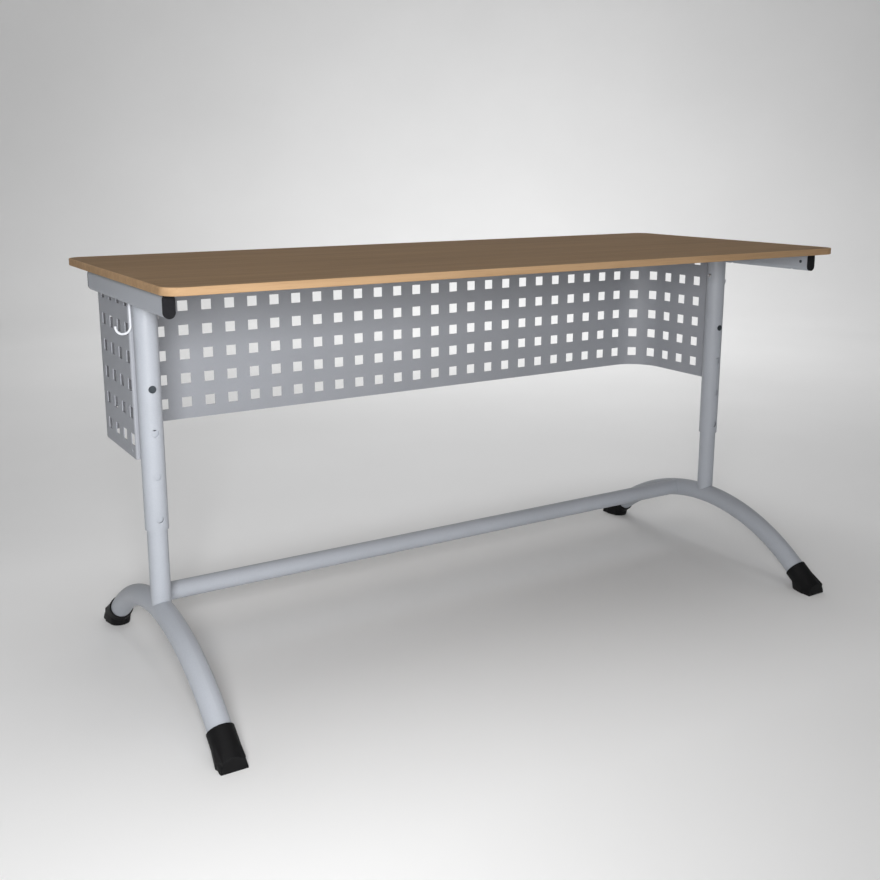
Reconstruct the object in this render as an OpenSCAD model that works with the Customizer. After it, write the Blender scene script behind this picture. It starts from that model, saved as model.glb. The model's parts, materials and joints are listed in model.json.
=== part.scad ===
// Height-adjustable teacher desk: laminated top on two side rails, a telescoping
// post on each side standing on an arched foot tube, and a perforated modesty panel.
// Millimetres. X runs left to right, Y from the user to the far side, Z up.
// The posts stand on y = 0 and the boots stand on z = 0.

/* [Tabletop] */
// Width of the tabletop, left to right
top_w = 1126; // [1060:2:1300]
// Depth of the tabletop, user side to far side
top_d = 476; // [450:2:500]
// Finished thickness of the tabletop
top_t = 10; // [8:1:16]
// Corner radius of the tabletop in plan
top_corner_r = 24; // [12:1:40]
// Overhang of the tabletop on the user side of the posts
top_front = 226; // [215:1:235]
// Thickness of the edge band
band_t = 2; // [1.6:0.2:3]

/* [Height] */
// Height of the tabletop at its lowest setting
desk_h = 583; // [575:1:620]
// Distance between two height settings
lock_step = 60; // [50:1:60]
// Number of height settings
lock_count = 4; // [2:1:4]
// Depth of the upper lock hole below the tabletop
lock_drop = 156.8; // [150:0.1:165]

/* [Frame] */
// Distance from the end of the tabletop to the middle of a post
post_inset = 41.4; // [40:0.1:48]
// Outside diameter of the upper post tube
post_d = 32; // [32:0.5:34]
// Height of the lower end of the upper post tube
sleeve_bottom_z = 229; // [220:1:235]
// Outside diameter of the lower post tube
inner_d = 28; // [27:0.1:28]
// Width of the flat-oval rail tube
rail_w = 15; // [14:0.5:16]
// Height of the flat-oval rail tube
rail_h = 30; // [26:0.5:34]
// Reach of a rail in front of the posts, end plug included
rail_front = 189; // [180:1:200]
// Reach of a rail behind the posts, end plug included
rail_back = 158; // [152:1:162]

/* [Modesty panel] */
// Height of the lower edge of the panel
panel_bottom_z = 325; // [320:1:330]
// Distance from the posts to the far face of the panel
panel_back_y = 218.7; // [215:0.1:222]
// Outside radius of the two upright bends
panel_bend_r = 60; // [50:1:62]
// Side of a square hole
hole_size = 16.2; // [10:0.1:20]
// Distance between hole centres, both ways
hole_pitch = 38.1; // [37:0.1:38.4]
// Number of hole rows
hole_rows = 6; // [1:1:6]

/* [Feet] */
// Outside diameter of the arched foot tube
foot_d = 32; // [30:0.5:34]
// Centreline radius of the arch
arch_r = 353.5; // [345:0.5:360]
// Height of the centreline at the top of the arch
arch_top_z = 110.5; // [108:0.5:116]
// Angle of the arch on each side of the post, in degrees
arch_angle = 37; // [36:0.5:37.5]
// Outside diameter of the boot's sleeve
boot_d = 36.4; // [36:0.1:40]
// Distance from the posts to the tip of a boot
boot_tip_y = 269.5; // [266:0.1:276]
// Outside diameter of the stretcher tube
stretcher_d = 27; // [22:0.5:28]
// Distance of the stretcher behind the posts
stretcher_y = 68.6; // [55:0.1:75]
// Height of the stretcher's axis
stretcher_z = 106; // [104:0.5:107]

/* [Hidden] */
$fn = 96;
cut = 1;                   // how far a cutter runs past the face that it cuts
coarse_fn = 32;            // facets of the shapes inside a hull

laminate_t = 0.8;
band_edge_r = 1;
top_back = top_d - top_front;
top_mid_y = (top_back - top_front) / 2;
underside_z = desk_h - top_t;
screw_bite = 7;            // depth of a screw in the tabletop

post_x = top_w / 2 - post_inset;
post_wall = 1.2;
bore_d = post_d - 2 * post_wall;
post_top_z = underside_z - 1;
inner_wall = 1.5;
inner_bore_d = inner_d - 2 * inner_wall;
inner_top_z = post_top_z - 62;
running_gap = 0.1;         // a running fit, on the diameter

lock_z = desk_h - lock_drop;
lock_hole_d = 10.6;
spare_hole_rise = 8.4;     // how far the lower post's second hole is above the next lock hole
button_d = 10;
button_proud = 0.2;
clip_w = 10.6;
clip_y = inner_bore_d / 2 - 1.4;
clip_t = 0.8;

bush_h = 30;
bush_lift = 0.5;
glide_collar_h = 8.5;
glide_plug_h = 12;
glide_hole_d = 10;
stop_screw_d = 4;
stop_gap = 0.1;
stop_screw_z = inner_top_z + glide_collar_h + stop_gap + stop_screw_d / 2;
button_head_d = 7.7;
button_head_h = 2.2;

rail_gap = 2;              // steel plate between a post and its rail
rail_wall = 1.5;
rail_inner_x = post_x + post_d / 2 + rail_gap;
rail_x = rail_inner_x + rail_w / 2;
rail_z = underside_z - rail_h / 2;
plate_y = 12;
plate_l = 20;
plate_h = rail_h - rail_w - 1;
cap_flange = 3;
cap_plug = 20;
cap_plug_wall = 2;
cap_screw_y = -rail_front + 16.5;
cap_screw_d = 2.4;
cap_head_d = 5;
cap_head_h = 1.5;
top_screw_d = 4;
top_head_d = 8;
top_head_h = 2.2;
access_hole_d = 10;
rail_screw_ys = [-150, -15, 120];
rail_head_z = rail_z + (rail_h - rail_w) / 2
    + sqrt(pow(rail_w / 2 - rail_wall, 2) - pow(top_head_d / 2, 2)) - 0.1;

sheet_t = 1.2;
wing_x = rail_inner_x;     // outer face of a wing
panel_h = underside_z - panel_bottom_z;
flat_half = wing_x - panel_bend_r;
bend_y = panel_back_y - panel_bend_r;
neutral_r = panel_bend_r - sheet_t / 2;
bend_length = neutral_r * PI / 2;
flange_y = post_d / 2;     // near face of the wing's return flange
flange_w = 22.6;
flange_bend_r = 3;
top_flange_w = 15;
top_flange_screw_x = 300;
hole_columns = 19;         // on each side of the middle
first_row_z = panel_bottom_z + 26.4;
corner_hole = [32, 9.5];   // distance from the posts, height above the lower edge
corner_hole_d = 4.5;
rivet_ys = [70, 130];
rivet_d = 3.2;
rivet_head_d = 6;
rivet_head_h = 1.5;
flange_screw_z = underside_z - 23;

hook_d = 3.3;
hook_r = 10;
hook_y = 12;
hook_x = rail_inner_x - hook_d / 2;
hook_bottom_z = underside_z - 64;
hook_tip_h = 1;

foot_wall = 1.5;
foot_straight = 36;        // straight end of the foot tube, mostly inside the boot
arch_mid_z = arch_top_z - arch_r;
boot_start = 11.5;         // bare part of the straight end, above the boot
boot_reach = 60;           // long enough for the sleeve to reach the floor
toe_w = 30;
toe_h = 16;
toe_r = 1.5;
cheek_w = 38;              // the pad's widest part
cheek_h = 11;
cheek_r = 4.5;
cheek_back = 16.5;         // from the tip to the middle of the cheeks
heel_back = 45.5;          // from the tip to the back of the heel
heel_h = 21.5;
heel_r = 15.7;
pad_join = 27;             // where along the foot's straight end the pad blends in
pad_join_d = boot_d - 1;   // the pad's root, just under the sleeve's skin
stretcher_wall = 1.5;
stretcher_end = 9;         // how far the stretcher stops short of the arch's middle

wood_color = [0.50, 0.40, 0.31];
backing_color = [0.45, 0.38, 0.31];
core_color = [0.66, 0.53, 0.38];
band_color = [0.80, 0.63, 0.44];
frame_color = [0.72, 0.73, 0.77];
panel_color = [0.57, 0.58, 0.60];
plastic_color = [0.06, 0.06, 0.06];
steel_color = [0.66, 0.67, 0.68];
dark_color = [0.16, 0.16, 0.19];
hook_color = [0.86, 0.87, 0.89];

// ---- helpers ----

// Children are drawn for the right side, and mirrored for the left
module on_side(side) {
    mirror([side > 0 ? 0 : 1, 0, 0]) children();
}

module on_both_sides() {
    for (side = [-1, 1]) on_side(side) children();
}

// A cylinder along X that starts at the given point
module x_cylinder(at, d, h) {
    translate(at) rotate([0, 90, 0]) cylinder(d = d, h = h);
}

// A cylinder along Y that starts at the given point
module y_cylinder(at, d, h) {
    translate(at) rotate([-90, 0, 0]) cylinder(d = d, h = h);
}

// A cylinder along Z that starts at the given point
module z_cylinder(at, d, h) {
    translate(at) cylinder(d = d, h = h);
}

module rounded_rectangle(w, d, r) {
    square([w - 2 * r, d], center = true);
    square([w, d - 2 * r], center = true);
    for (x = [-1, 1], y = [-1, 1]) translate([x * (w / 2 - r), y * (d / 2 - r)]) circle(r);
}

module flat_oval(w, h) {
    square([w, h - w], center = true);
    for (s = [-1, 1]) translate([0, s * (h - w) / 2]) circle(d = w);
}

// A quarter of a ring that turns from +Y round to +X
module quarter_ring(r, wall) {
    intersection() {
        difference() {
            circle(r);
            circle(r - wall);
        }
        square(r);
    }
}

// ---- tabletop ----

module tabletop_slab(z, h) {
    translate([0, top_mid_y, z])
        linear_extrude(h)
            rounded_rectangle(top_w - 2 * band_t, top_d - 2 * band_t, top_corner_r - band_t);
}

// Screw positions in the tabletop: over both rails and along the panel's top flange
module at_top_screws() {
    on_both_sides() for (y = rail_screw_ys) translate([rail_x, y, 0]) children();
    at_flange_screws() children();
}

module at_flange_screws() {
    for (i = [-1:1])
        translate([i * top_flange_screw_x, panel_back_y - top_flange_w / 2 - sheet_t, 0])
            children();
}

module tabletop_core() {
    color(core_color) difference() {
        tabletop_slab(underside_z + laminate_t, top_t - 2 * laminate_t);
        at_top_screws() z_cylinder([0, 0, underside_z], top_screw_d, screw_bite);
    }
}

module tabletop_laminate() {
    color(wood_color) tabletop_slab(desk_h - laminate_t, laminate_t);
}

module tabletop_backing() {
    color(backing_color) difference() {
        tabletop_slab(underside_z, laminate_t);
        at_top_screws() z_cylinder([0, 0, underside_z - cut], top_screw_d, screw_bite);
    }
}

// Section of the edge band: the rounded face looks along +X
module band_section() {
    square([band_t - band_edge_r, top_t]);
    translate([0, band_edge_r]) square([band_t, top_t - 2 * band_edge_r]);
    for (z = [band_edge_r, top_t - band_edge_r])
        translate([band_t - band_edge_r, z]) circle(band_edge_r);
}

module band_quarter() {
    half_w = top_w / 2 - top_corner_r;
    half_d = top_d / 2 - top_corner_r;
    translate([half_w, half_d, 0])
        rotate_extrude(angle = 90) translate([top_corner_r - band_t, 0]) band_section();
    translate([0, top_d / 2 - band_t, 0])
        rotate([90, 0, 90]) linear_extrude(half_w) band_section();
    translate([top_w / 2 - band_t, half_d, 0])
        rotate([90, 0, 0]) linear_extrude(half_d) band_section();
}

module tabletop_edge_band() {
    color(band_color)
        translate([0, top_mid_y, underside_z])
            for (x = [0, 1], y = [0, 1]) mirror([x, 0, 0]) mirror([0, y, 0]) band_quarter();
}

// ---- side rails ----

module rail_bar(w, h, y0, y1) {
    translate([rail_x, y1, rail_z])
        rotate([90, 0, 0]) linear_extrude(y1 - y0) flat_oval(w, h);
}

module side_rail(side) {
    y0 = -rail_front + cap_flange;
    y1 = rail_back - cap_flange;
    color(frame_color) on_side(side) difference() {
        rail_bar(rail_w, rail_h, y0, y1);
        rail_bar(rail_w - 2 * rail_wall, rail_h - 2 * rail_wall, y0 - cut, y1 + cut);
        for (y = rail_screw_ys) {
            z_cylinder([rail_x, y, rail_z], top_screw_d, rail_h);
            z_cylinder([rail_x, y, rail_z - rail_h], access_hole_d, rail_h);
        }
        x_cylinder([rail_inner_x - cut, cap_screw_y, rail_z], cap_screw_d, rail_w / 2);
        for (y = rivet_ys) x_cylinder([rail_inner_x - cut, y, rail_z], rivet_d, rail_w / 2);
    }
}

module left_side_rail() { side_rail(-1); }

module right_side_rail() { side_rail(1); }

// A plug with a flange as large as the rail's section; end is -1 for the near end
module rail_cap(side, end) {
    flange_out = end < 0 ? -rail_front : rail_back;
    flange_in = flange_out - end * cap_flange;
    plug_in = flange_in - end * cap_plug;
    plug_w = rail_w - 2 * rail_wall;
    plug_h = rail_h - 2 * rail_wall;
    color(plastic_color) on_side(side) difference() {
        union() {
            rail_bar(rail_w, rail_h, min(flange_out, flange_in), max(flange_out, flange_in));
            rail_bar(plug_w, plug_h, min(flange_in, plug_in), max(flange_in, plug_in));
        }
        rail_bar(plug_w - 2 * cap_plug_wall, plug_h - 2 * cap_plug_wall,
            min(flange_in, plug_in - cut), max(flange_in, plug_in + cut));
        if (end < 0)
            x_cylinder([rail_inner_x - cut, cap_screw_y, rail_z], cap_screw_d, rail_w / 2);
    }
}

module near_left_rail_cap() { rail_cap(-1, -1); }

module near_right_rail_cap() { rail_cap(1, -1); }

module far_left_rail_cap() { rail_cap(-1, 1); }

module far_right_rail_cap() { rail_cap(1, 1); }

module rail_cap_screws() {
    color(dark_color) on_both_sides() {
        x_cylinder([rail_inner_x - cap_head_h, cap_screw_y, rail_z], cap_head_d, cap_head_h);
        x_cylinder([rail_inner_x, cap_screw_y, rail_z], cap_screw_d, rail_wall + cap_plug_wall);
    }
}

// A screw that is driven upwards; head_top is where its head bears
module top_screw(head_top) {
    z_cylinder([0, 0, head_top - top_head_h], top_head_d, top_head_h);
    z_cylinder([0, 0, head_top], top_screw_d, underside_z + screw_bite - head_top);
}

module tabletop_screws() {
    color(steel_color) {
        on_both_sides() for (y = rail_screw_ys)
            translate([rail_x, y, 0]) top_screw(rail_head_z);
        at_flange_screws() top_screw(underside_z - sheet_t);
    }
}

module post_rail_plates() {
    color(frame_color) on_both_sides()
        translate([rail_inner_x - rail_gap, -plate_y, rail_z - plate_h / 2])
            cube([rail_gap, plate_l, plate_h]);
}

// ---- upper posts ----

module lock_hole(z) {
    y_cylinder([post_x, -post_d / 2 - cut, z], lock_hole_d, post_d / 2 - inner_bore_d / 2 + 2 * cut);
}

module lock_holes() {
    for (i = [0:lock_count - 1]) lock_hole(lock_z - i * lock_step);
}

module upper_post(side) {
    color(frame_color) on_side(side) difference() {
        z_cylinder([post_x, 0, sleeve_bottom_z], post_d, post_top_z - sleeve_bottom_z);
        z_cylinder([post_x, 0, sleeve_bottom_z - cut], bore_d, post_top_z);
        lock_holes();
        x_cylinder([post_x - post_d, 0, stop_screw_z], stop_screw_d, 2 * post_d);
        y_cylinder([post_x, 0, flange_screw_z], stop_screw_d, post_d);
    }
}

module left_upper_post() { upper_post(-1); }

module right_upper_post() { upper_post(1); }

module guide_bush(side) {
    z0 = sleeve_bottom_z + bush_lift;
    color(plastic_color) on_side(side) difference() {
        z_cylinder([post_x, 0, z0], bore_d, bush_h);
        z_cylinder([post_x, 0, z0 - cut], inner_d + running_gap, bush_h + 2 * cut);
        lock_holes();
    }
}

module left_guide_bush() { guide_bush(-1); }

module right_guide_bush() { guide_bush(1); }

module stop_screws() {
    color(steel_color) on_both_sides() {
        x_cylinder([post_x - post_d / 2 - button_head_h, 0, stop_screw_z],
            button_head_d, button_head_h);
        x_cylinder([post_x - post_d / 2, 0, stop_screw_z], stop_screw_d, post_d);
    }
}

// ---- modesty panel ----

// Where the hole column at distance d along the sheet stands: [x, y, turn]
function sheet_place(d) =
    let (past_flat = max(d - flat_half, 0))
    let (turn = min(past_flat / neutral_r * 180 / PI, 90))
    let (on_wing = max(past_flat - bend_length, 0))
    [min(d, flat_half) + neutral_r * sin(turn), bend_y + neutral_r * cos(turn) - on_wing, turn];

module sheet_hole_column(column) {
    place = sheet_place((column - 0.5) * hole_pitch);
    for (row = [0:hole_rows - 1])
        translate([place[0], place[1], first_row_z + row * hole_pitch])
            rotate([0, 0, -place[2]]) cube([hole_size, 12, hole_size], center = true);
}

// The right half of the sheet in plan, from the middle to the return flange
module panel_half_plan() {
    translate([0, panel_back_y - sheet_t]) square([flat_half, sheet_t]);
    translate([flat_half, bend_y]) quarter_ring(panel_bend_r, sheet_t);
    translate([wing_x - sheet_t, flange_y + flange_bend_r])
        square([sheet_t, bend_y - flange_y - flange_bend_r]);
    translate([wing_x - flange_bend_r, flange_y + flange_bend_r])
        mirror([0, 1]) quarter_ring(flange_bend_r, sheet_t);
    translate([wing_x - flange_w, flange_y]) square([flange_w - flange_bend_r, sheet_t]);
}

module modesty_panel() {
    color(panel_color) difference() {
        union() {
            translate([0, 0, panel_bottom_z]) linear_extrude(panel_h) {
                panel_half_plan();
                mirror([1, 0]) panel_half_plan();
            }
            translate([-flat_half, panel_back_y - top_flange_w, underside_z - sheet_t])
                cube([2 * flat_half, top_flange_w, sheet_t]);
        }
        on_both_sides() {
            for (column = [1:hole_columns]) sheet_hole_column(column);
            for (y = rivet_ys) x_cylinder([wing_x - 5, y, rail_z], rivet_d, 10);
            x_cylinder([wing_x - 5, corner_hole[0], panel_bottom_z + corner_hole[1]],
                corner_hole_d, 10);
            y_cylinder([post_x, flange_y - cut, flange_screw_z], stop_screw_d, 5);
        }
        at_flange_screws() z_cylinder([0, 0, underside_z - 5], top_screw_d, 10);
    }
}

module panel_rivets() {
    color(steel_color) on_both_sides() for (y = rivet_ys) {
        x_cylinder([wing_x - sheet_t - rivet_head_h, y, rail_z], rivet_head_d, rivet_head_h);
        x_cylinder([wing_x - sheet_t, y, rail_z], rivet_d, sheet_t + rail_wall);
    }
}

module panel_post_screws() {
    head_y = flange_y + sheet_t;
    tip_y = bore_d / 2 - 3;
    color(steel_color) on_both_sides() {
        y_cylinder([post_x, head_y, flange_screw_z], button_head_d, button_head_h);
        y_cylinder([post_x, tip_y, flange_screw_z], stop_screw_d, head_y - tip_y);
    }
}

// ---- bag hooks ----

module bag_hook(side) {
    top_z = rail_z + (rail_h - rail_w) / 2;
    color(hook_color) on_side(side) {
        z_cylinder([hook_x, hook_y, hook_bottom_z], hook_d, top_z - hook_bottom_z);
        translate([hook_x + hook_r, hook_y, hook_bottom_z])
            rotate([90, 0, 0]) rotate([0, 0, 180])
                rotate_extrude(angle = 180) translate([hook_r, 0]) circle(d = hook_d);
        z_cylinder([hook_x + 2 * hook_r, hook_y, hook_bottom_z], hook_d, hook_tip_h);
    }
}

module left_bag_hook() { bag_hook(-1); }

module right_bag_hook() { bag_hook(1); }

// ---- feet ----

// Puts +Z along the straight end of the foot tube, pointing down to the floor
module at_foot_end() {
    translate([post_x, arch_r * sin(arch_angle), arch_mid_z + arch_r * cos(arch_angle)])
        rotate([-(90 + arch_angle), 0, 0]) children();
}

module foot_bar(d, straight) {
    translate([post_x, 0, arch_mid_z])
        rotate([90, 0, 90]) rotate([0, 0, 90 - arch_angle])
            rotate_extrude(angle = 2 * arch_angle) translate([arch_r, 0]) circle(d = d);
    for (end = [0, 1]) mirror([0, end, 0]) at_foot_end() cylinder(d = d, h = straight);
}

module foot_arch(side) {
    color(frame_color) on_side(side) difference() {
        foot_bar(foot_d, foot_straight);
        foot_bar(foot_d - 2 * foot_wall, foot_straight + cut);
    }
}

module left_foot_arch() { foot_arch(-1); }

module right_foot_arch() { foot_arch(1); }

// Upright corner of the boot's pad, x from the foot's mid-plane and back from the tip
module pad_corner(x, back, r, h) {
    translate([post_x + x, boot_tip_y - back, 0]) cylinder(r = r, h = h, $fn = coarse_fn);
}

// Pad of a boot: a flat toe, wider cheeks and a round heel, drawn up into the sleeve
module boot_pad() {
    hull() {
        for (x = [-1, 1]) {
            pad_corner(x * (toe_w / 2 - toe_r), toe_r, toe_r, toe_h);
            pad_corner(x * (cheek_w / 2 - cheek_r), cheek_back, cheek_r, cheek_h);
        }
        pad_corner(0, heel_back - heel_r, heel_r, heel_h);
        at_foot_end() translate([0, 0, pad_join])
            cylinder(d = pad_join_d, h = cut, $fn = coarse_fn);
    }
}

// A boot at the far end; end is -1 for the near end
module boot(side, end) {
    color(plastic_color) on_side(side) mirror([0, end > 0 ? 0 : 1, 0]) difference() {
        intersection() {
            union() {
                at_foot_end() translate([0, 0, boot_start]) cylinder(d = boot_d, h = boot_reach);
                boot_pad();
            }
            translate([post_x - boot_d, boot_tip_y - 2 * boot_reach, 0])
                cube([2 * boot_d, 2 * boot_reach, 2 * boot_reach]);
        }
        at_foot_end() cylinder(d = foot_d, h = foot_straight);
    }
}

module near_left_boot() { boot(-1, -1); }

module near_right_boot() { boot(1, -1); }

module far_left_boot() { boot(-1, 1); }

module far_right_boot() { boot(1, 1); }

module stretcher() {
    reach = post_x - stretcher_end;
    color(frame_color) difference() {
        x_cylinder([-reach, stretcher_y, stretcher_z], stretcher_d, 2 * reach);
        x_cylinder([-reach - cut, stretcher_y, stretcher_z],
            stretcher_d - 2 * stretcher_wall, 2 * (reach + cut));
        on_both_sides() foot_bar(foot_d, foot_straight);
    }
}

// ---- lower posts ----

module lower_post(side) {
    color(frame_color) on_side(side) difference() {
        z_cylinder([post_x, 0, arch_top_z + cut], inner_d, inner_top_z - arch_top_z - cut);
        z_cylinder([post_x, 0, arch_top_z], inner_bore_d, inner_top_z);
        foot_bar(foot_d, foot_straight);
        lock_hole(lock_z);
        lock_hole(lock_z - lock_step + spare_hole_rise);
    }
}

module left_lower_post() { lower_post(-1); }

module right_lower_post() { lower_post(1); }

// The collar runs in the upper post's bore, and the stop screw rests on it
module top_glide(side) {
    plug_d = inner_bore_d - 0.2;
    color(plastic_color) on_side(side) difference() {
        union() {
            z_cylinder([post_x, 0, inner_top_z - glide_plug_h], plug_d, glide_plug_h);
            z_cylinder([post_x, 0, inner_top_z], bore_d - running_gap, glide_collar_h);
        }
        z_cylinder([post_x, 0, inner_top_z - glide_plug_h - cut], glide_hole_d, 2 * glide_plug_h);
    }
}

module left_top_glide() { top_glide(-1); }

module right_top_glide() { top_glide(1); }

// Side view of the folded spring clip, with the button's height at 0
module clip_profile() {
    foot_y = 1.5;
    up = 14;
    knee = -12;
    down = -44;
    inside_y = clip_y - clip_t;
    polygon([
        [-clip_y, up], [-clip_y, knee], [-foot_y, down], [foot_y, down],
        [clip_y, knee], [clip_y, up], [inside_y, up], [inside_y, knee],
        [foot_y - clip_t / 2, down + clip_t], [clip_t / 2 - foot_y, down + clip_t],
        [-inside_y, knee], [-inside_y, up]
    ]);
}

module snap_lock(side) {
    tip_y = post_d / 2 + button_proud;
    color(dark_color) on_side(side) translate([post_x, 0, lock_z]) {
        translate([-clip_w / 2, 0, 0]) rotate([90, 0, 90]) linear_extrude(clip_w) clip_profile();
        y_cylinder([0, -tip_y, 0], button_d, tip_y - clip_y + clip_t / 2);
    }
}

module left_snap_lock() { snap_lock(-1); }

module right_snap_lock() { snap_lock(1); }

// ---- nodes ----

tabletop_core();
tabletop_laminate();
tabletop_backing();
tabletop_edge_band();
left_side_rail();
right_side_rail();
near_left_rail_cap();
near_right_rail_cap();
far_left_rail_cap();
far_right_rail_cap();
rail_cap_screws();
tabletop_screws();
post_rail_plates();
left_upper_post();
right_upper_post();
left_guide_bush();
right_guide_bush();
stop_screws();
modesty_panel();
panel_rivets();
panel_post_screws();
left_bag_hook();
right_bag_hook();
left_lower_post();
right_lower_post();
left_top_glide();
right_top_glide();
left_snap_lock();
right_snap_lock();
left_foot_arch();
right_foot_arch();
stretcher();
near_left_boot();
near_right_boot();
far_left_boot();
far_right_boot();
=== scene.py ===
"""Looks of the height-adjustable desk: finishes, moulded boots, screws and rivets, light and camera."""

import json
import math
from collections import namedtuple

import bmesh
import bpy
from mathutils import Matrix, Vector


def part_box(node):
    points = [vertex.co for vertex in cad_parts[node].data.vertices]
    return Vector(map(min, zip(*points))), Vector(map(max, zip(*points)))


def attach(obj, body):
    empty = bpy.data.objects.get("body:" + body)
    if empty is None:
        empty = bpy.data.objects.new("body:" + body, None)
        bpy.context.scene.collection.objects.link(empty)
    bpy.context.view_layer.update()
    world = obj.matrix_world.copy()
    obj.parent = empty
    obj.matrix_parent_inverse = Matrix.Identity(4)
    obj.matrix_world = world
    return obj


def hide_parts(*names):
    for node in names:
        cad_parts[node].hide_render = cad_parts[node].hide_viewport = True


MM = 0.001
FULL_TURN = 2 * math.pi
AROUND = 48  # points in each ring of a turned piece
X_AXIS, Y_AXIS, Z_AXIS = range(3)

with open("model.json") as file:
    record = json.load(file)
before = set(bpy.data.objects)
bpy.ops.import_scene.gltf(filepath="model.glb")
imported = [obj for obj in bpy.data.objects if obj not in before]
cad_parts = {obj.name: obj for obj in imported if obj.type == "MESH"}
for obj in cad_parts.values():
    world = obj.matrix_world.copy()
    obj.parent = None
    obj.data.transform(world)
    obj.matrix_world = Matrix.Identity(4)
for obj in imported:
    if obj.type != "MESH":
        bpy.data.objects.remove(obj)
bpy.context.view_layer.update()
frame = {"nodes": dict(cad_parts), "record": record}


# ---- camera ----

EYE = (-0.9213, -1.3952, 0.7179)
TURN_RIGHT = 31.51
LOOK_DOWN = 12.07
LENS = 43.78
SHIFT_DOWN = 0.0534


def add_camera():
    camera = bpy.data.objects.new("photo_camera", bpy.data.cameras.new("photo_camera"))
    bpy.context.scene.collection.objects.link(camera)
    camera.location = EYE
    camera.rotation_euler = (math.radians(90 - LOOK_DOWN), 0, -math.radians(TURN_RIGHT))
    camera.data.lens = LENS
    camera.data.shift_y = -SHIFT_DOWN
    bpy.context.scene.camera = camera


# ---- light and stage ----

WHITE = (1, 1, 1, 1)
STUDIO_R = 5.0
COVE_R = 1.5
COVE_STEPS = 16
STUDIO_AROUND = 96
WALL_TOP = 5.0


def add_softbox(name, at, towards, width, height, power, spread=180):
    lamp = bpy.data.lights.new(name, "AREA")
    lamp.shape = "RECTANGLE"
    lamp.size = width
    lamp.size_y = height
    lamp.energy = power
    lamp.spread = math.radians(spread)
    box = bpy.data.objects.new(name, lamp)
    bpy.context.scene.collection.objects.link(box)
    box.location = at
    box.rotation_euler = (Vector(towards) - Vector(at)).to_track_quat("-Z", "Y").to_euler()


def add_sky(strength):
    world = bpy.data.worlds.new("studio_air")
    world.use_nodes = True
    background = world.node_tree.nodes["Background"]
    background.inputs["Color"].default_value = WHITE
    background.inputs["Strength"].default_value = strength
    bpy.context.scene.world = world
    bpy.context.scene.view_settings.view_transform = "Standard"


def add_stage():
    """A round pale floor that curves up into a wall on every side."""
    profile = [(0.0, 0.0)]
    for step in range(COVE_STEPS + 1):
        angle = step / COVE_STEPS * math.pi / 2
        profile.append((STUDIO_R - COVE_R + COVE_R * math.sin(angle), COVE_R * (1 - math.cos(angle))))
    profile.append((STUDIO_R, WALL_TOP))
    floor = turned("studio_floor", profile, around=STUDIO_AROUND)
    floor.data.materials.append(stage_finish())


# ---- mesh helpers ----


def link_mesh(name, mesh):
    piece = bpy.data.objects.new(name, mesh)
    bpy.context.scene.collection.objects.link(piece)
    return piece


def ring_mesh(name, rings):
    """Skins a list of rings, each a list of points; a ring of one point closes that end."""
    shape = bmesh.new()
    made = [[shape.verts.new(p) for p in ring] for ring in rings]
    for low, high in zip(made, made[1:]):
        count = max(len(low), len(high))
        for i in range(count):
            j = (i + 1) % count
            corners = [low[i % len(low)], low[j % len(low)], high[j % len(high)], high[i % len(high)]]
            shape.faces.new(list(dict.fromkeys(corners)))
    bmesh.ops.recalc_face_normals(shape, faces=shape.faces)
    mesh = bpy.data.meshes.new(name)
    shape.to_mesh(mesh)
    shape.free()
    for face in mesh.polygons:
        face.use_smooth = True
    return mesh


def circle(radius, height, around=AROUND):
    angles = [i / around * FULL_TURN for i in range(around)]
    return [(radius * math.cos(a), radius * math.sin(a), height) for a in angles]


def turned(name, profile, around=AROUND):
    """A turned piece from its (radius, height) profile; a radius of 0 closes an end."""
    rings = [[(0, 0, h)] if r == 0 else circle(r, h, around) for r, h in profile]
    return link_mesh(name, ring_mesh(name, rings))


SAME_POINT = 0.01 * MM


def solid_boxes(node):
    """Boxes of the separate solids in a CAD node, from left to right and near to far."""
    shape = bmesh.new()
    shape.from_mesh(frame["nodes"][node].data)
    bmesh.ops.remove_doubles(shape, verts=shape.verts, dist=SAME_POINT)
    left = set(shape.verts)
    boxes = []
    while left:
        front = [left.pop()]
        island = []
        while front:
            vert = front.pop()
            island.append(vert.co.copy())
            for edge in vert.link_edges:
                other = edge.other_vert(vert)
                if other in left:
                    left.remove(other)
                    front.append(other)
        low = Vector(map(min, *island))
        high = Vector(map(max, *island))
        boxes.append((low, high))
    shape.free()
    return sorted(boxes, key=lambda box: tuple(round(c, 4) for c in box[0]))


# ---- screws and rivets ----

HEX_SOCKET = "hex"
CROSS_SLOT = "cross"
RIVET_HOLE = "round"
RECESS_SHARE = {HEX_SOCKET: 0.4, CROSS_SLOT: 0.52, RIVET_HOLE: 0.3}  # of the head's radius
CROWN_SHARE = 0.62  # flat middle of a head, of its radius
RIM_SHARE = 0.25  # straight side of a head, of its height
DOME_STEPS = 6

Fastener = namedtuple("Fastener", "head_h shank_r socket")
BUTTON_SCREW = Fastener(2.2 * MM, 2 * MM, HEX_SOCKET)
BOARD_SCREW = Fastener(2.2 * MM, 2 * MM, CROSS_SLOT)
CAP_SCREW = Fastener(1.5 * MM, 1.2 * MM, CROSS_SLOT)
RIVET = Fastener(1.5 * MM, 1.6 * MM, RIVET_HOLE)


def socket_radius(kind, size, angle):
    """Radius of a recess at an angle; size is its half width across the flats or arms."""
    if kind == HEX_SOCKET:
        off = (angle + math.pi / 6) % (math.pi / 3) - math.pi / 6
        return size / math.cos(off)
    if kind == CROSS_SLOT:
        arm = 0.28 * size
        c = max(abs(math.cos(angle)), 1e-6)
        s = max(abs(math.sin(angle)), 1e-6)
        return max(min(size / c, arm / s), min(arm / c, size / s))
    return size


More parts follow.
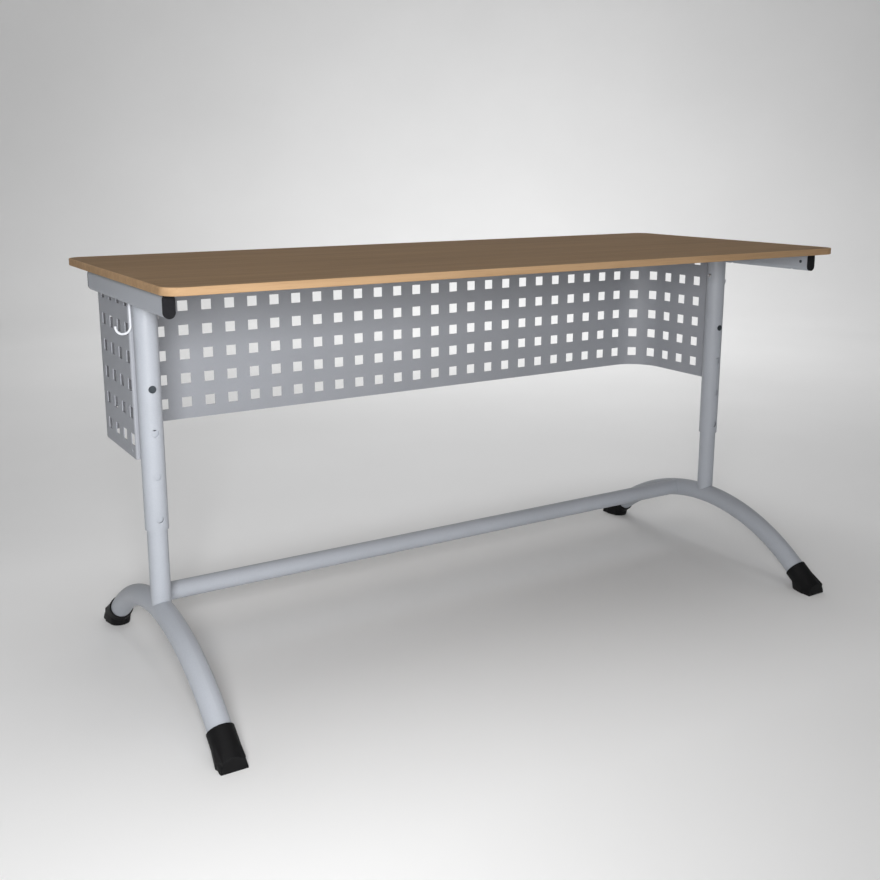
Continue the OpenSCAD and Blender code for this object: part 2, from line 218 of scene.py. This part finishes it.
def socket_ring(kind, size, height):
    angles = [i / AROUND * FULL_TURN for i in range(AROUND)]
    return [
        (socket_radius(kind, size, a) * math.cos(a), socket_radius(kind, size, a) * math.sin(a), height)
        for a in angles
    ]


def fastener_mesh(name, kind, head_r, length):
    """A domed head from z = 0 up to its height, with its recess, on a shank going down."""
    head_h, shank_r, socket = kind
    recess = RECESS_SHARE[socket] * head_r
    rim_h = RIM_SHARE * head_h
    crown_r = CROWN_SHARE * head_r
    rings = [[(0, 0, -length)], circle(0.8 * shank_r, -length), circle(shank_r, 0.3 * shank_r - length)]
    rings += [circle(shank_r, 0), circle(0.97 * head_r, 0), circle(head_r, 0.06 * head_h)]
    for step in range(DOME_STEPS + 1):
        angle = step / DOME_STEPS * math.pi / 2
        radius = crown_r + (head_r - crown_r) * math.cos(angle)
        rings.append(circle(radius, rim_h + (head_h - rim_h) * math.sin(angle)))
    rings.append(socket_ring(socket, 1.06 * recess, head_h))
    rings.append(socket_ring(socket, recess, 0.94 * head_h))
    rings.append(socket_ring(socket, 0.96 * recess, 0.2 * head_h))
    rings.append([(0, 0, 0.1 * head_h)])
    return ring_mesh(name, rings)


def aim(axis, sign):
    """Rotation that puts local +Z along an axis of the frame."""
    direction = Vector((0, 0, 0))
    direction[axis] = sign
    return direction.to_track_quat("Z", "Y").to_matrix().to_4x4()


def fit_fasteners(node, kind, axis, head_side, slot):
    """Stands a detailed screw or rivet in for each plain one of a CAD node.

    head_side gives +1 or -1 along the axis from the solid's centre.
    """
    across = [a for a in range(3) if a != axis]
    parts = []
    for low, high in solid_boxes(node):
        centre = (low + high) / 2
        sign = head_side(centre)
        head_r = min(high[a] - low[a] for a in across) / 2
        length = high[axis] - low[axis] - kind.head_h
        seat = centre.copy()
        seat[axis] = (high[axis] if sign > 0 else low[axis]) - sign * kind.head_h
        mesh = fastener_mesh(node, kind, head_r, length)
        mesh.transform(Matrix.Translation(seat) @ aim(axis, sign))
        parts.append(mesh)
    piece = link_mesh(node + "_detailed", joined(node + "_detailed", parts))
    piece.data.materials.append(FINISHES[slot])
    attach(piece, "upper_frame")
    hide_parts(node)


def joined(name, meshes):
    shape = bmesh.new()
    for mesh in meshes:
        shape.from_mesh(mesh)
    whole = bpy.data.meshes.new(name)
    shape.to_mesh(whole)
    shape.free()
    return whole


# ---- finishes ----


class Finish:
    """A material whose nodes are added one call at a time."""

    def __init__(self, name, **sockets):
        self.material = bpy.data.materials.new(name)
        self.material.use_nodes = True
        self.tree = self.material.node_tree
        self.shader = self.tree.nodes["Principled BSDF"]
        for socket, value in sockets.items():
            self.shader.inputs[socket.replace("_", " ")].default_value = value

    def add(self, kind, **values):
        node = self.tree.nodes.new(kind)
        for key, value in values.items():
            socket = key.replace("_", " ")
            if socket in node.inputs:
                node.inputs[socket].default_value = value
            else:
                setattr(node, key, value)
        return node

    def wire(self, out, into):
        self.tree.links.new(out, into)

    def place(self, scale=(1, 1, 1)):
        """Coordinates in metres on the object, stretched by scale."""
        coords = self.add("ShaderNodeTexCoord")
        mapping = self.add("ShaderNodeMapping", Scale=scale)
        self.wire(coords.outputs["Object"], mapping.inputs["Vector"])
        return mapping.outputs["Vector"]

    def noise(self, at, scale, detail=3.0, roughness=0.5, distortion=0.0):
        values = {"Scale": scale, "Detail": detail, "Roughness": roughness, "Distortion": distortion}
        node = self.add("ShaderNodeTexNoise", **values)
        self.wire(at, node.inputs["Vector"])
        return node.outputs["Fac"]

    def ramp(self, value, stops):
        """Colour from a value, by (position, colour) stops."""
        node = self.add("ShaderNodeValToRGB")
        elements = node.color_ramp.elements
        while len(elements) < len(stops):
            elements.new(0.5)
        for element, (position, colour) in zip(elements, stops):
            element.position = position
            element.color = (*colour, 1)
        self.wire(value, node.inputs["Fac"])
        return node.outputs["Color"]

    def span(self, value, low, high):
        """Maps a 0 to 1 value onto low to high."""
        node = self.add("ShaderNodeMapRange")
        node.inputs["From Min"].default_value = 0.25
        node.inputs["From Max"].default_value = 0.75
        node.inputs["To Min"].default_value = low
        node.inputs["To Max"].default_value = high
        self.wire(value, node.inputs["Value"])
        return node.outputs["Result"]

    def blend(self, first, second, share, mode="MIX"):
        node = self.add("ShaderNodeMix", data_type="RGBA", blend_type=mode)
        node.inputs[0].default_value = share
        self.wire(first, node.inputs[6])
        self.wire(second, node.inputs[7])
        return node.outputs[2]

    def bump(self, height, depth, under=None):
        """Adds relief; depth is in metres."""
        node = self.add("ShaderNodeBump", Strength=1.0, Distance=depth)
        self.wire(height, node.inputs["Height"])
        if under is not None:
            self.wire(under, node.inputs["Normal"])
        return node.outputs["Normal"]

    def finish(self, colour=None, roughness=None, normal=None):
        for socket, value in (("Base Color", colour), ("Roughness", roughness), ("Normal", normal)):
            if value is not None:
                self.wire(value, self.shader.inputs[socket])
        return self.material


def shade(colour, factor):
    return tuple(c * factor for c in colour)


def wood_finish(name, colour, contrast, gloss):
    """Printed wood grain running along X, with fine pores, under a satin overlay."""
    wood = Finish(name, Specular_IOR_Level=0.03)
    figure = wood.noise(wood.place((1.0, 9.0, 9.0)), 2.2, 4.0, 0.55, 0.6)
    lines = wood.noise(wood.place((3.0, 110.0, 110.0)), 1.0, 5.0, 0.6, 0.2)
    pores = wood.noise(wood.place((22.0, 900.0, 900.0)), 1.0, 2.0)
    tone = wood.ramp(figure, [(0.3, shade(colour, 1 - contrast)), (0.7, shade(colour, 1 + contrast))])
    grain = wood.ramp(lines, [(0.35, (0.82, 0.8, 0.77)), (0.6, (1.0, 1.0, 1.0))])
    specks = wood.ramp(pores, [(0.3, (0.78, 0.75, 0.72)), (0.42, (1.0, 1.0, 1.0))])
    look = wood.blend(wood.blend(tone, grain, 0.8, "MULTIPLY"), specks, 0.6, "MULTIPLY")
    relief = wood.bump(lines, 0.00006, wood.bump(pores, 0.00003))
    return wood.finish(look, wood.span(lines, gloss - 0.05, gloss + 0.06), relief)


def board_finish():
    """Raw pressed board: chips of a few millimetres."""
    board = Finish("pressed_board", Specular_IOR_Level=0.2)
    at = board.place()
    chips = board.add("ShaderNodeTexVoronoi", Scale=420.0)
    board.wire(at, chips.inputs["Vector"])
    colour = board.ramp(chips.outputs["Distance"], [(0.1, (0.30, 0.21, 0.12)), (0.8, (0.55, 0.42, 0.27))])
    relief = board.bump(chips.outputs["Distance"], 0.0003)
    return board.finish(colour, board.span(board.noise(at, 300.0), 0.75, 0.95), relief)


def powder_finish(name, colour, gloss=0.42):
    """Powder coat: a fine orange-peel skin with a slight change of tone and gloss."""
    coat = Finish(name, Specular_IOR_Level=0.45)
    at = coat.place()
    peel = coat.noise(at, 620.0, 2.0, 0.5)
    flow = coat.noise(at, 90.0, 2.0, 0.5)
    patches = coat.noise(at, 7.0, 3.0)
    tone = coat.ramp(patches, [(0.3, shade(colour, 0.965)), (0.7, shade(colour, 1.035))])
    speckle = coat.ramp(peel, [(0.3, (0.955, 0.955, 0.96)), (0.62, (1.0, 1.0, 1.0))])
    relief = coat.bump(peel, 0.00009, coat.bump(flow, 0.00016))
    look = coat.blend(tone, speckle, 1.0, "MULTIPLY")
    return coat.finish(look, coat.span(patches, gloss - 0.05, gloss + 0.05), relief)


def moulded_finish(name, colour, gloss, texture):
    """Moulded plastic with a spark-eroded texture and faint scuffs."""
    plastic = Finish(name, Specular_IOR_Level=0.15)
    at = plastic.place()
    grain = plastic.noise(at, texture, 3.0, 0.6)
    scuffs = plastic.noise(plastic.place((40.0, 9.0, 60.0)), 3.0, 4.0, 0.7, 1.2)
    tone = plastic.ramp(scuffs, [(0.45, colour), (0.8, shade(colour, 1.6))])
    relief = plastic.bump(grain, 0.00012)
    return plastic.finish(tone, plastic.span(scuffs, gloss - 0.06, gloss + 0.1), relief)


def metal_finish(name, colour, gloss):
    """Plated or blackened steel with turning marks and small stains."""
    metal = Finish(name, Metallic=1.0)
    at = metal.place()
    stains = metal.noise(at, 260.0, 4.0, 0.6, 0.5)
    marks = metal.noise(metal.place((1.0, 1.0, 9.0)), 900.0, 2.0)
    tone = metal.ramp(stains, [(0.3, shade(colour, 0.8)), (0.65, shade(colour, 1.08))])
    return metal.finish(tone, metal.span(stains, gloss - 0.07, gloss + 0.12), metal.bump(marks, 0.00003))


def stage_finish():
    stage = Finish("pale_floor", Specular_IOR_Level=0.1)
    at = stage.place()
    colour = stage.ramp(stage.noise(at, 1.5), [(0.3, (0.90, 0.90, 0.90)), (0.7, (0.93, 0.93, 0.93))])
    return stage.finish(colour, stage.span(stage.noise(at, 30.0), 0.85, 0.95))


# The top's brown is the edge band's wood tone made darker. This is painted shade for the low, grazing
# light on the top, and the lamps add to that darkness. The band colour is the wood's own.
TOP_WOOD_WITH_PAINTED_SHADE = (0.268, 0.178, 0.103)
BAND = (0.46, 0.30, 0.17)
BACKING = (0.24, 0.175, 0.12)
FRAME_GREY = (0.44, 0.465, 0.51)
PANEL_GREY = (0.365, 0.38, 0.415)
HOOK_GREY = (0.74, 0.76, 0.80)

FINISHES = {
    "top_laminate": wood_finish("brown_laminate_painted_shade", TOP_WOOD_WITH_PAINTED_SHADE, 0.07, 0.62),
    "backing_laminate": wood_finish("plain_backing", BACKING, 0.03, 0.7),
    "board_core": board_finish(),
    "edge_band": wood_finish("light_edge_band", BAND, 0.06, 0.48),
    "frame_paint": powder_finish("grey_powder_coat", FRAME_GREY),
    "panel_paint": powder_finish("panel_powder_coat", PANEL_GREY, 0.5),
    "hook_paint": powder_finish("pale_powder_coat", HOOK_GREY, 0.35),
    "plated_steel": metal_finish("zinc_plate", (0.62, 0.62, 0.64), 0.32),
    "dark_steel": metal_finish("black_steel", (0.10, 0.115, 0.13), 0.42),
    "black_plastic": moulded_finish("black_plastic", (0.010, 0.010, 0.012), 0.5, 900.0),
    "boot_plastic": moulded_finish("boot_plastic", (0.006, 0.006, 0.0065), 0.55, 700.0),
}


def paint_cad_nodes():
    """Gives every CAD node the finish of its slot in the record."""
    for part in frame["record"]["subparts"]:
        data = frame["nodes"][part["node"]].data
        data.materials.clear()
        data.materials.append(FINISHES[part["material_slot"]])


# ---- moulded boots ----

BOOT_VOXEL = 0.7 * MM
BOOT_SMOOTHING = 2


def mould_boot(node):
    """A boot with the soft edges of a moulding, inside the CAD boot's skin."""
    mesh = frame["nodes"][node].data.copy()
    piece = link_mesh(node + "_moulded", mesh)
    remesh = piece.modifiers.new("even_skin", "REMESH")
    remesh.mode = "VOXEL"
    remesh.voxel_size = BOOT_VOXEL
    remesh.use_smooth_shade = True
    smooth = piece.modifiers.new("soft_edges", "SMOOTH")
    smooth.factor = 0.5
    smooth.iterations = BOOT_SMOOTHING
    graph = bpy.context.evaluated_depsgraph_get()
    piece.data = bpy.data.meshes.new_from_object(piece.evaluated_get(graph))
    piece.modifiers.clear()
    low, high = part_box(node)
    for vert in piece.data.vertices:
        vert.co = Vector(min(max(c, a), b) for c, a, b in zip(vert.co, low, high))
    piece.data.materials.clear()
    piece.data.materials.append(FINISHES["boot_plastic"])
    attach(piece, "base")
    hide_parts(node)


# ---- the scene ----


def towards_middle(centre):
    return -1 if centre.x > 0 else 1


def away_from_user(centre):
    return 1


def downwards(centre):
    return -1


def add_fasteners():
    fit_fasteners("stop_screws", BUTTON_SCREW, X_AXIS, towards_middle, "plated_steel")
    fit_fasteners("rail_cap_screws", CAP_SCREW, X_AXIS, towards_middle, "dark_steel")
    fit_fasteners("panel_rivets", RIVET, X_AXIS, towards_middle, "plated_steel")
    fit_fasteners("panel_post_screws", BUTTON_SCREW, Y_AXIS, away_from_user, "plated_steel")
    fit_fasteners("tabletop_screws", BOARD_SCREW, Z_AXIS, downwards, "plated_steel")


def main():
    add_camera()
    paint_cad_nodes()
    for end in ("near", "far"):
        for side in ("left", "right"):
            mould_boot(f"{end}_{side}_boot")
    add_fasteners()
    add_stage()
    add_sky(0.10)
    add_softbox("key_softbox", (-0.98, -1.4, 0.76), (-0.4, 0, 0.38), 0.36, 0.36, 9.2, spread=112)
    add_softbox("overhead_softbox", (0, 0, 3.0), (0, 0, 0), 1.8, 1.8, 26)
    add_softbox("wall_wash", (1.0, 1.8, 2.9), (2.8, 4.6, 0.9), 2.4, 1.0, 20)
    add_softbox("floor_wash", (1.7, 2.4, 2.6), (1.9, 2.7, 0), 2.0, 2.0, 22, spread=120)


main()
